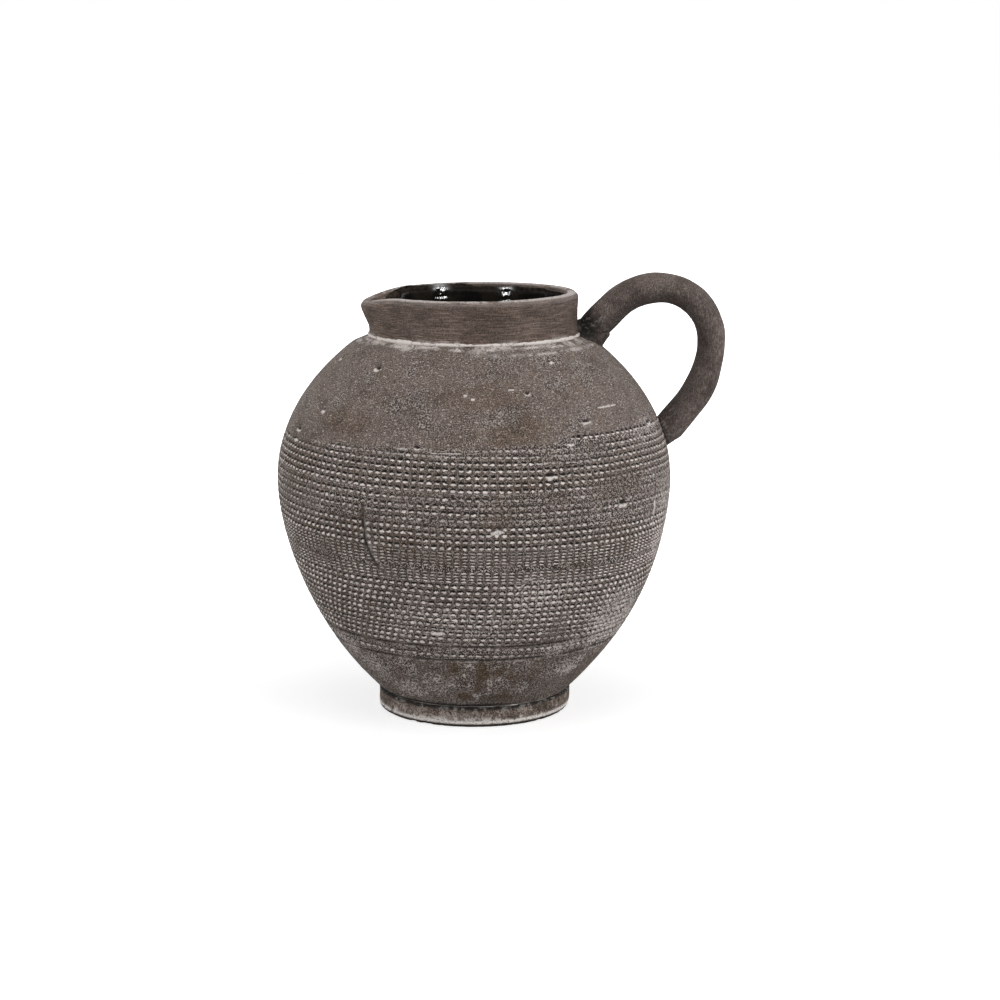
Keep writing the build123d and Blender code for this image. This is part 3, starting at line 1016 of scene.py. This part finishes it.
# Distance from the upper root, and the handle's radius there
HANDLE_SWELL = (
    (0, 9.5),
    (20, 9.55),
    (30, 9.3),
    (50, 9.2),
    (62, 8.8),
    (76, 8.55),
    (90, 8.2),
    (112, 8.4),
    (122, 8.6),
    (131, 9.1),
    (146, 9.0),
    (156, 9.3),
    (170, 9.4),
)
SWELL_WINDOW = 15

# How far from its ends the handle bends into the clay and how deep it goes, and where along a
# straight root the clay's surface is looked for
ROOT_REACH = 24.0
ROOT_MARGIN = 3.0
ROOT_SEARCH = np.linspace(-16, 26, 421)


def handle_points(path, radius, around):
    """Points round a line in the handle's plane; the angle 0 is on its left as it runs."""
    ahead = unit(np.gradient(path, axis=0))
    spread = radius * np.cos(around)
    x = path[:, :1] - ahead[:, 1:] * spread
    z = path[:, 1:] + ahead[:, :1] * spread
    y = np.broadcast_to(radius * np.sin(around), x.shape)
    return np.stack([x, y, z], axis=-1)


def in_clay(points, margin):
    """Whether points are inside the body or the neck by a margin."""
    spread = np.hypot(points[..., 0], points[..., 1]) + margin
    height = points[..., 2]
    wall = np.where(height < seat_height, radius_at(height), neck_radius - 0.8)
    return spread < wall


def root_starts(origin, angle, radius, around, margin):
    """How far along a straight root each side of the handle meets the clay."""
    path = origin + ROOT_SEARCH[:, None] * polar(angle, 1)
    inside = in_clay(handle_points(path, radius, around), margin)
    last = len(ROOT_SEARCH) - 1 - np.argmax(inside[::-1], axis=0)
    return ROOT_SEARCH[last]


def add_tube(name, points, caps, sharp_rows, pale, dark):
    """A mesh round the handle's line. Its rings are turned over, so that its faces look outward."""
    values = {"pale": pale[:, ::-1], "dark": dark[:, ::-1]}
    return add_rings(name, points[:, ::-1], caps, sharp_rows, values)


def make_handle():
    """The rolled handle, its thickness uneven, running into the clay at both roots."""
    line = handle_line()
    length = run_length(line)[-1]
    around = np.linspace(0, 2 * math.pi, HANDLE_SIDES, endpoint=False)[None, :]
    lengths = np.arange(0, length, HANDLE_STEP)
    path = line_at(line, lengths)
    swell = np.interp(lengths, *np.array(HANDLE_SWELL).T)
    kernel = np.hanning(SWELL_WINDOW)
    padded = np.pad(swell, SWELL_WINDOW // 2, mode="edge")
    swell = np.convolve(padded, kernel / kernel.sum(), mode="valid")[:, None]
    plain = handle_points(path, swell, around)
    points = plain
    for end, angle, sides, gap in (
        (0, handle_rise_angle, around, lengths),
        (-1, handle_fall_angle, math.pi - around, length - lengths),
    ):
        start = root_starts(line[end], angle, swell[end], sides, ROOT_MARGIN)
        share = np.clip(1 - gap / ROOT_REACH, 0, 1)[:, None]
        way = polar(angle, 1)
        points = points + (share * start)[..., None] * np.array([way[0], 0, way[1]])
    middle = np.stack([path[:, 0], np.zeros(len(path)), path[:, 1]], axis=-1)[:, None, :]
    out = unit(plain - middle)
    wide, lump, grain, fine = noises(points, 61, 22, 8, 2.2, 1.1)
    along = lengths[:, None]
    facing = np.cos(around)
    ribs = np.sin(along * 2.1 + 1.5 * lump) * bump(along, 92, 13) * smooth(-0.2, 0.5, lump + 0.4 * grain)
    stand = 0.22 * wide + 0.16 * lump + 0.05 * grain + 0.03 * fine + 0.1 * ribs
    end_slope = np.clip((along - length + 11) / 11, 0, 1)
    stand = stand - smooth(0.0, 0.9, facing) * (5.0 * end_slope + 1.6 * bump(along, 0, 7))
    points = points + stand[..., None] * out
    scuff = noise(points, 1.5, 65)
    pale = 0.07 * smooth(0.2, 0.9, scuff + 0.3 * lump)
    pale = np.maximum(pale, 0.25 * smooth(0.3, 0.8, fine + 0.5 * grain) * bump(along, 12, 12))
    pale = np.maximum(pale, 0.25 * smooth(0.2, 0.7, fine + 0.5 * grain) * bump(along, length - 6, 12))
    # Painted shade: darker in the hollow between the upper root and the neck, on the loop's inner side and
    # where the handle comes close to the body. Patches near the lower end are darker too.
    root_cavity_shade = smooth(22, 5, along + 4 * lump + 2 * grain) * smooth(-0.8, 0.3, 0.6 * lump + facing)
    near_end = bump(along, length - 2, 7) * smooth(-0.3, 0.5, lump + 0.5 * grain)
    off_body = np.hypot(points[..., 0], points[..., 1]) - radius_at(np.minimum(points[..., 2], seat_height))
    contact = smooth(3.2, 0.8, off_body + 0.8 * lump + 0.6 * grain) * smooth(0.4, 0.7, along / length)
    dark = 0.3 * smooth(0.2, 0.9, wide - 0.5 * scuff)
    inner_side = smooth(0.5, -0.7, facing + 0.2 * lump)
    for shade in (1.3 * root_cavity_shade, 0.5 * inner_side, 0.6 * near_end, 0.9 * contact):
        dark = np.maximum(dark, shade)
    caps = points[[0, -1]].mean(axis=1)
    return add_tube("jug_handle", points, caps, (0, len(points) - 1), pale, dark)


def make_luting(name, root, angle, radius, spread, height, seed, torn, trim):
    """Clay pressed round a root of the handle: spread on the wall, running out on the handle."""
    around = np.linspace(0, 2 * math.pi, LUTING_SIDES, endpoint=False)[None, :]
    way = polar(angle, 1)
    start = root_starts(root, angle, radius + 0.5, around, 0.0)
    ring = handle_points(np.array([root, root + way]), radius, around)[:1]
    across = np.cos(around[0])
    uneven = noise(ring, 7, seed)[0] + 0.5 * noise(ring, 2.5, seed + 1)[0]
    tall = height * (1 + 0.35 * uneven)
    rings = []
    for step in np.concatenate([np.linspace(-3, 0, 5)[:-1], np.linspace(0, 1, 26)]):
        reach = start + (step if step < 0 else step * tall)
        flare = spread * np.exp(-np.maximum(step, 0) * 4.5) - 1.5 * np.maximum(across, 0)
        shelf = torn * (1 - smooth(0.85, 1.0, step)) * smooth(0.1, -0.8, across)
        drop = 0.5 * smooth(0.2, 1.0, step)
        size = radius + flare + shelf - drop - trim * np.maximum(-across, 0)
        rings.append((reach, size))
    inner = np.full_like(uneven, radius - 1.4 - trim)
    rings += [(start + tall, inner), (start - 3, inner)]
    reach, size = np.array(rings).transpose(1, 0, 2)
    x = root[0] + way[0] * reach - way[1] * size * across
    z = root[1] + way[1] * reach + way[0] * size * across
    points = np.stack([x, size * np.sin(around), z], axis=-1)
    lump, grain = noises(points, seed + 2, 5, 1.8)
    ahead = np.array([way[0], 0, way[1]])
    out = points - np.array([root[0], 0, root[1]])
    out = unit(out - (out @ ahead)[..., None] * ahead)
    stand = 0.2 * lump + 0.12 * grain
    stand[-2:] = 0
    points = points + stand[..., None] * out
    pale = 0.1 * smooth(0.2, 0.8, lump + 0.6 * grain)
    # Painted shade: the pressed clay is darkened all round, most in the narrow angle between the root and
    # the wall.
    dark = 0.4 + 0.6 * smooth(-0.9, 0.3, across - 0.5 * lump + 0.5 * grain)
    return add_tube(name, points, None, (), pale, dark)


# Materials

# Places of the colour mixer's share and colours among its inputs, and of its colour among its outputs
MIXER_INPUTS = (0, 6, 7)
MIXER_OUTPUT = 2


class Paint:
    """Adds nodes to a tree. Most of its methods give back the new node's output."""

    def __init__(self, tree):
        self.tree = tree

    def add(self, kind, **settings):
        node = self.tree.nodes.new(kind)
        for key, value in settings.items():
            setattr(node, key, value)
        return node

    def feed(self, socket, source):
        """Links a socket to an output, or sets it to a number, a vector or a colour."""
        if isinstance(source, bpy.types.NodeSocket):
            self.tree.links.new(source, socket)
        elif socket.type == "RGBA":
            socket.default_value = source + (1.0,)
        else:
            socket.default_value = source

    def plug(self, node, **sources):
        """Feeds a node's inputs by name. Underscores stand for spaces."""
        for key, source in sources.items():
            self.feed(node.inputs[key.replace("_", " ")], source)

    def named(self, name):
        """A value that the mesh keeps on its points."""
        return self.add("ShaderNodeAttribute", attribute_name=name).outputs["Fac"]

    def noise(self, place, size, detail=2.0, roughness=0.5):
        """Noise with features of a size in millimetres."""
        node = self.add("ShaderNodeTexNoise")
        self.plug(node, Vector=place, Scale=1 / (size * MM), Detail=detail, Roughness=roughness)
        return node.outputs["Fac"]

    def drawn_out(self, place, scale, tilt=(0.0, 0.0, 0.0)):
        """Coordinates drawn out, so that what is made of them runs along one direction."""
        node = self.add("ShaderNodeMapping")
        self.plug(node, Vector=place, Rotation=tilt, Scale=scale)
        return node.outputs["Vector"]

    def ranged(self, value, low, high, bottom, top, kind="LINEAR"):
        """A value from low to high, brought between bottom and top."""
        node = self.add("ShaderNodeMapRange", interpolation_type=kind)
        self.plug(node, Value=value, From_Min=low, From_Max=high, To_Min=bottom, To_Max=top)
        return node.outputs["Result"]

    def step(self, value, low, high, top=1.0):
        """A soft step of a value from 0 at low to top at high."""
        return self.ranged(value, low, high, 0.0, top, "SMOOTHSTEP")

    def math(self, kind, first, second=0.0):
        node = self.add("ShaderNodeMath", operation=kind)
        self.feed(node.inputs[0], first)
        self.feed(node.inputs[1], second)
        return node.outputs["Value"]

    def plus(self, first, second):
        return self.math("ADD", first, second)

    def minus(self, first, second):
        return self.math("SUBTRACT", first, second)

    def times(self, first, second):
        return self.math("MULTIPLY", first, second)

    def mix(self, share, first, second, kind="MIX"):
        """Two colours mixed by a share."""
        node = self.add("ShaderNodeMix", data_type="RGBA", blend_type=kind)
        for index, source in zip(MIXER_INPUTS, (share, first, second)):
            self.feed(node.inputs[index], source)
        return node.outputs[MIXER_OUTPUT]

    def relief(self, height, strength, depth):
        """Normals of fine relief, with a depth in millimetres."""
        node = self.add("ShaderNodeBump")
        self.plug(node, Strength=strength, Distance=depth * MM, Height=height)
        return node.outputs["Normal"]


def new_material(name):
    material = bpy.data.materials.new(name)
    material.use_nodes = True
    paint = Paint(material.node_tree)
    shader = material.node_tree.nodes["Principled BSDF"]
    place = paint.add("ShaderNodeTexCoord").outputs["Object"]
    return material, paint, shader, place


# The slip colours below are slip, and also the painted highlights on the neck's rim, in the nicks and under
# the pits. The near-black colour is soot and dark crumbs, and also the painted shade in the nicks, pits,
# chips, joints and cavities.
SLIP_AND_HIGHLIGHT_COLOUR = (0.63, 0.565, 0.535)
NICK_SLIP_AND_HIGHLIGHT_COLOUR = (0.8, 0.73, 0.695)
SOOT_AND_SHADE_COLOUR = (0.008, 0.007, 0.006)
STAIN_COLOUR = (0.46, 0.33, 0.18)
BAND_COLOUR = (0.84, 0.81, 0.78)
MESS_COLOUR = (0.68, 0.66, 0.64)
WEATHER_COLOUR = (0.45, 0.42, 0.4)
SCRATCH_TILTS = ((0.4, 0.5, 0.0), (0.3, -0.7, 0.0))


def oval_share(paint, across, down, level, half_width, half_height):
    """1 inside an oval whose middle is at a level, 0 outside it, with a crisp edge."""
    x = paint.math("DIVIDE", across, half_width)
    y = paint.math("DIVIDE", paint.minus(down, level), half_height)
    return paint.step(paint.plus(paint.times(x, x), paint.times(y, y)), 1.35, 0.65)


def wavering(paint, place, size, reach):
    """A small shift to and fro, which makes shapes less regular."""
    return paint.times(paint.minus(paint.noise(place, size), 0.5), reach)


def nick_shares(paint, place):
    """How much pale slip with a painted highlight, and how much painted shade, there is in each nick of the
    ornament.
    """
    nick, row, press = [paint.named(name) for name in ("nick", "row", "press")]
    cell = paint.add("ShaderNodeCombineXYZ")
    paint.plug(cell, X=paint.math("FLOOR", nick), Y=paint.math("FLOOR", row))
    chance = paint.add("ShaderNodeTexWhiteNoise", noise_dimensions="2D")
    paint.plug(chance, Vector=cell.outputs["Vector"])
    value = chance.outputs["Value"]
    across = paint.minus(paint.math("FRACT", nick), 0.5)
    across = paint.plus(across, paint.times(paint.minus(value, 0.5), 0.1))
    across = paint.plus(across, wavering(paint, place, 1.4, 0.65))
    down = paint.plus(paint.math("FRACT", row), wavering(paint, place, 1.7, 0.6))
    amount = paint.plus(paint.times(value, 0.7), 0.52)
    firm = paint.times(paint.step(press, 0.12, 0.85), amount)
    # The pale dash low in each nick is partly slip left in it and partly a painted highlight on its lit
    # lower wall.
    slip_and_highlight_share = paint.times(oval_share(paint, across, down, 0.68, 0.29, 0.15), firm)
    # The dark oval high in each nick is painted shade under its upper edge.
    deep = paint.step(press, 0.15, 0.75)
    shade_share = paint.times(oval_share(paint, across, down, 0.4, 0.36, 0.19), deep)
    return slip_and_highlight_share, shade_share


def ornamented(paint, place, base):
    """The body's clay with its specks, stains and crumbs, and with slip, painted highlights and painted
    shade in the nicks.
    """
    speck = paint.noise(place, 0.55, 0.0)
    dash = paint.noise(paint.drawn_out(place, (0.3, 0.3, 1.0)), 0.6, 0.0)
    crumb = paint.noise(place, 0.76, 1.0)
    mess = paint.named("mess")
    flake = paint.noise(paint.drawn_out(place, (1.0, 1.0, 0.6)), 1.1)
    flake = paint.plus(flake, paint.times(paint.named("wash"), 0.4))
    slip_and_highlight_share, shade_share = nick_shares(paint, place)
    for share, colour, kind in (
        (paint.step(speck, 0.68, 0.74, 0.8), SLIP_AND_HIGHLIGHT_COLOUR, "MIX"),
        (paint.step(dash, 0.73, 0.79, 0.8), SLIP_AND_HIGHLIGHT_COLOUR, "MIX"),
        (paint.named("band"), BAND_COLOUR, "MULTIPLY"),
        (paint.named("stain"), STAIN_COLOUR, "MULTIPLY"),
        (mess, MESS_COLOUR, "MULTIPLY"),
        (paint.times(paint.step(crumb, 0.545, 0.595), mess), SLIP_AND_HIGHLIGHT_COLOUR, "MIX"),
        (paint.times(paint.step(crumb, 0.485, 0.44), mess), SOOT_AND_SHADE_COLOUR, "MIX"),
        (paint.step(flake, 0.7, 0.76, 0.85), SLIP_AND_HIGHLIGHT_COLOUR, "MIX"),
        (shade_share, SOOT_AND_SHADE_COLOUR, "MIX"),
        (slip_and_highlight_share, NICK_SLIP_AND_HIGHLIGHT_COLOUR, "MIX"),
    ):
        base = paint.mix(share, base, colour, kind)
    return base


def clay_material(name, tone, ochre, slip_and_highlight_tone, speckle, streak, cloudy, scratched, ornament=False):
    """Coarse fired clay: mottled, sandy, with turning streaks, pale slip and soot, and with painted
    highlights and painted shade.
    """
    material, paint, shader, place = new_material(name)
    cloud = paint.noise(place, 38, 3.0)
    mottle = paint.noise(place, 4.2, 3.0, 0.65)
    sand = paint.noise(place, 0.62, 2.0, 0.6)
    turned = paint.noise(paint.drawn_out(place, (0.03, 0.03, 1.0)), 0.27, 1.0)
    light, deep, shade = [tuple(times * part for part in tone) for times in (3.0, 0.15, 0.68)]
    layers = [
        (mottle, 0.34, 0.6, 1.0, tone),
        (cloud, 0.42, 0.66, 1.0, ochre),
        (sand, 0.51, 0.64, speckle, light),
        (sand, 0.48, 0.37, speckle, deep),
        (turned, 0.54, 0.7, streak, light),
        (turned, 0.46, 0.3, streak, deep),
    ]
    for tilt in SCRATCH_TILTS:
        scratch = paint.noise(paint.drawn_out(place, (1.0, 1.0, 0.1), tilt), 0.4, 0.0)
        layers.append((scratch, 0.66, 0.74, scratched, light))
    base = shade
    for value, low, high, top, colour in layers:
        base = paint.mix(paint.step(value, low, high, top), base, colour)
    weather = paint.noise(place, 17, 4.0, 0.6)
    base = paint.mix(paint.step(weather, 0.46, 0.66, cloudy), base, WEATHER_COLOUR, "MULTIPLY")
    if ornament:
        base = ornamented(paint, place, base)
    # The dark values are partly soot and marks and partly painted shade; the pale values are partly slip
    # and partly painted highlights.
    base = paint.mix(paint.times(paint.named("dark"), 0.92), base, SOOT_AND_SHADE_COLOUR)
    base = paint.mix(paint.times(paint.named("pale"), paint.step(sand, 0.3, 0.5)), base, slip_and_highlight_tone)
    rough = paint.ranged(mottle, 0.3, 0.7, 0.74, 0.92)
    normal = paint.relief(paint.plus(paint.times(sand, 0.6), paint.times(turned, 0.35)), 0.8, 0.3)
    paint.plug(shader, Base_Color=base, Roughness=rough, Normal=normal, Specular_IOR_Level=0.3)
    return material


def slip_material():
    """Pale, chalky slip, stained with clay in its hollows."""
    material, paint, shader, place = new_material("slip")
    mottle = paint.noise(place, 3.0, 3.0, 0.65)
    grit = paint.noise(place, 1.0, 2.0, 0.6)
    base = paint.mix(paint.step(mottle, 0.3, 0.5), (0.3, 0.25, 0.23), (0.78, 0.72, 0.68))
    base = paint.mix(paint.step(grit, 0.52, 0.75, 0.5), base, (0.85, 0.81, 0.78))
    normal = paint.relief(grit, 0.5, 0.3)
    paint.plug(shader, Base_Color=base, Roughness=0.9, Normal=normal, Specular_IOR_Level=0.25)
    return material


def glaze_material():
    """Black glaze, glossy and a little wavy, thinner and browner in places."""
    material, paint, shader, place = new_material("glaze")
    cloud = paint.noise(place, 14, 3.0)
    pin = paint.noise(place, 1.2)
    mottle = paint.noise(place, 2.2, 3.0, 0.6)
    thin = paint.named("thin")
    run = paint.named("run")
    base = paint.mix(paint.step(cloud, 0.45, 0.75), (0.008, 0.0075, 0.007), (0.025, 0.02, 0.015))
    base = paint.mix(paint.times(thin, paint.step(mottle, 0.3, 0.7)), base, (0.06, 0.046, 0.037))
    rough = paint.plus(paint.ranged(pin, 0.35, 0.75, 0.05, 0.16), paint.times(thin, 0.6))
    shine = paint.plus(paint.ranged(thin, 0.1, 0.4, 0.5, 0.0), paint.times(run, 2.0))
    wave = paint.times(paint.noise(place, 9), 0.13)
    drops = paint.times(paint.times(paint.noise(place, 3.2, 1.0), run), 0.6)
    normal = paint.relief(paint.plus(wave, drops), 1.0, 1.2)
    paint.plug(shader, Base_Color=base, Roughness=rough, Normal=normal, Specular_IOR_Level=shine)
    return material


body_clay = clay_material(
    "body_clay", (0.119, 0.092, 0.078), (0.085, 0.064, 0.05), NICK_SLIP_AND_HIGHLIGHT_COLOUR,
    speckle=0.65, streak=0.25, cloudy=0.55, scratched=0.65, ornament=True,
)
# The foot's pale tone is kept very light, partly for pale worn clay and partly as painted light on its
# shaded lower edge.
foot_clay = clay_material(
    "foot_clay", (0.16, 0.123, 0.102), (0.108, 0.079, 0.058), (0.9, 0.84, 0.8),
    speckle=0.9, streak=0.1, cloudy=0.5, scratched=0.3,
)
neck_clay = clay_material(
    "neck_clay", (0.125, 0.093, 0.078), (0.1, 0.072, 0.055), SLIP_AND_HIGHLIGHT_COLOUR,
    speckle=0.45, streak=0.6, cloudy=0.4, scratched=0.15,
)
handle_clay = clay_material(
    "handle_clay", (0.12, 0.094, 0.083), (0.09, 0.07, 0.06), SLIP_AND_HIGHLIGHT_COLOUR,
    speckle=0.4, streak=0.1, cloudy=0.6, scratched=0.6,
)
slip = slip_material()
glaze = glaze_material()


# Pieces

def dress(piece, node, material):
    """A piece that stands for a CAD node, with its material."""
    piece.data.materials.append(material)
    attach(piece, "root")
    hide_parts(node)


bowl_piece, dome_piece = make_body()
dress(bowl_piece, "lower_body", body_clay)
dress(dome_piece, "upper_body", body_clay)
dress(make_foot(), "base_disc", foot_clay)
dress(make_foot_slip(), "foot_slip_seam", slip)
dress(make_neck(), "neck_collar", neck_clay)
dress(make_neck_slip(), "neck_slip_seam", slip)
dress(make_glaze(), "glaze_lining", glaze)
dress(make_handle(), "handle_coil", handle_clay)
roots = handle_line()
upper_luting = make_luting(
    "upper_luting", roots[0], handle_rise_angle,
    radius=9.5, spread=1.3, height=9.0, seed=71, torn=1.6, trim=0.0,
)
lower_luting = make_luting(
    "lower_luting", roots[-1], handle_fall_angle,
    radius=9.0, spread=0.1, height=4.0, seed=81, torn=0.0, trim=4.5,
)
dress(upper_luting, "handle_upper_luting", handle_clay)
dress(lower_luting, "handle_lower_luting", handle_clay)
waist_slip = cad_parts["waist_slip_seam"]
waist_slip.data.materials.clear()
waist_slip.data.materials.append(slip)


# Floor, light and camera

FLOOR_HALF = 6000.0
LIGHT_AIM = np.array([0, 0, 0.13])

# Name, turn and rise in degrees, distance, width, height and power of each light
LIGHTS = (
    ("front_left", -42, 25, 1.7, 0.16, 1.4, 6.3),
    ("front_right", 46, 25, 1.7, 0.16, 1.4, 8.0),
    ("right_side", 100, 12, 1.8, 0.8, 0.7, 7.5),
    ("left_side", -105, 14, 1.8, 0.8, 0.7, 3.5),
    ("overhead", 10, 78, 1.6, 1.2, 1.2, 5.2),
)


def make_floor():
    """A wide pale floor, which keeps the jug's shadow."""
    corners = FLOOR_HALF * np.array([[-1, -1, 0], [1, -1, 0], [1, 1, 0], [-1, 1, 0]])
    floor = add_mesh("floor", corners, np.array([[0, 1, 2, 3]]))
    material, paint, shader, place = new_material("floor_paint")
    colour = paint.mix(paint.step(paint.noise(place, 2.0), 0.3, 0.7), (0.6, 0.6, 0.6), (0.62, 0.62, 0.62))
    reach = paint.add("ShaderNodeVectorMath", operation="LENGTH")
    paint.plug(reach, Vector=place)
    glow = paint.plus(paint.step(reach.outputs["Value"], 0.12, 0.7, 0.9), 0.66)
    seen = paint.add("ShaderNodeLightPath").outputs["Is Camera Ray"]
    paint.plug(shader, Base_Color=colour, Roughness=0.9, Emission_Color=(1, 1, 1))
    paint.plug(shader, Emission_Strength=paint.times(seen, glow))
    floor.data.materials.append(material)


def add_light(name, turn, rise, distance, width, height, power):
    """A soft box aimed at the middle of the jug."""
    flat = distance * math.cos(rise)
    data = bpy.data.lights.new(name, "AREA")
    data.shape = "RECTANGLE"
    data.size = width
    data.size_y = height
    data.energy = power
    lamp = bpy.data.objects.new(name, data)
    lamp.location = LIGHT_AIM + placed(turn, flat, distance * math.sin(rise))
    lamp.rotation_euler = (math.pi / 2 - rise, 0, turn)
    bpy.context.scene.collection.objects.link(lamp)


def make_world():
    """White where the camera, gloss or glass sees it, and a soft fill for everything else."""
    world = bpy.data.worlds.new("studio")
    world.use_nodes = True
    paint = Paint(world.node_tree)
    path = paint.add("ShaderNodeLightPath")
    seen = path.outputs["Is Camera Ray"]
    for ray in ("Is Glossy Ray", "Is Transmission Ray"):
        seen = paint.math("MAXIMUM", seen, path.outputs[ray])
    level = paint.ranged(seen, 0.0, 1.0, 0.35, 1.0)
    paint.plug(world.node_tree.nodes["Background"], Color=(1, 1, 1), Strength=level)
    bpy.context.scene.world = world


make_floor()
make_world()
for name, turn, rise, *box in LIGHTS:
    add_light(name, math.radians(turn), math.radians(rise), *box)

camera_data = bpy.data.cameras.new("camera")
camera_data.sensor_width = 36.0
camera_data.lens = 86.76
camera_data.clip_start = 0.05
camera_data.clip_end = 50.0
camera = bpy.data.objects.new("camera", camera_data)
camera.location = (0.0154, -1.422, 0.394)
camera.rotation_euler = (math.radians(79.29), 0, 0)
bpy.context.scene.collection.objects.link(camera)
bpy.context.scene.camera = camera
bpy.context.scene.view_settings.view_transform = "Standard"
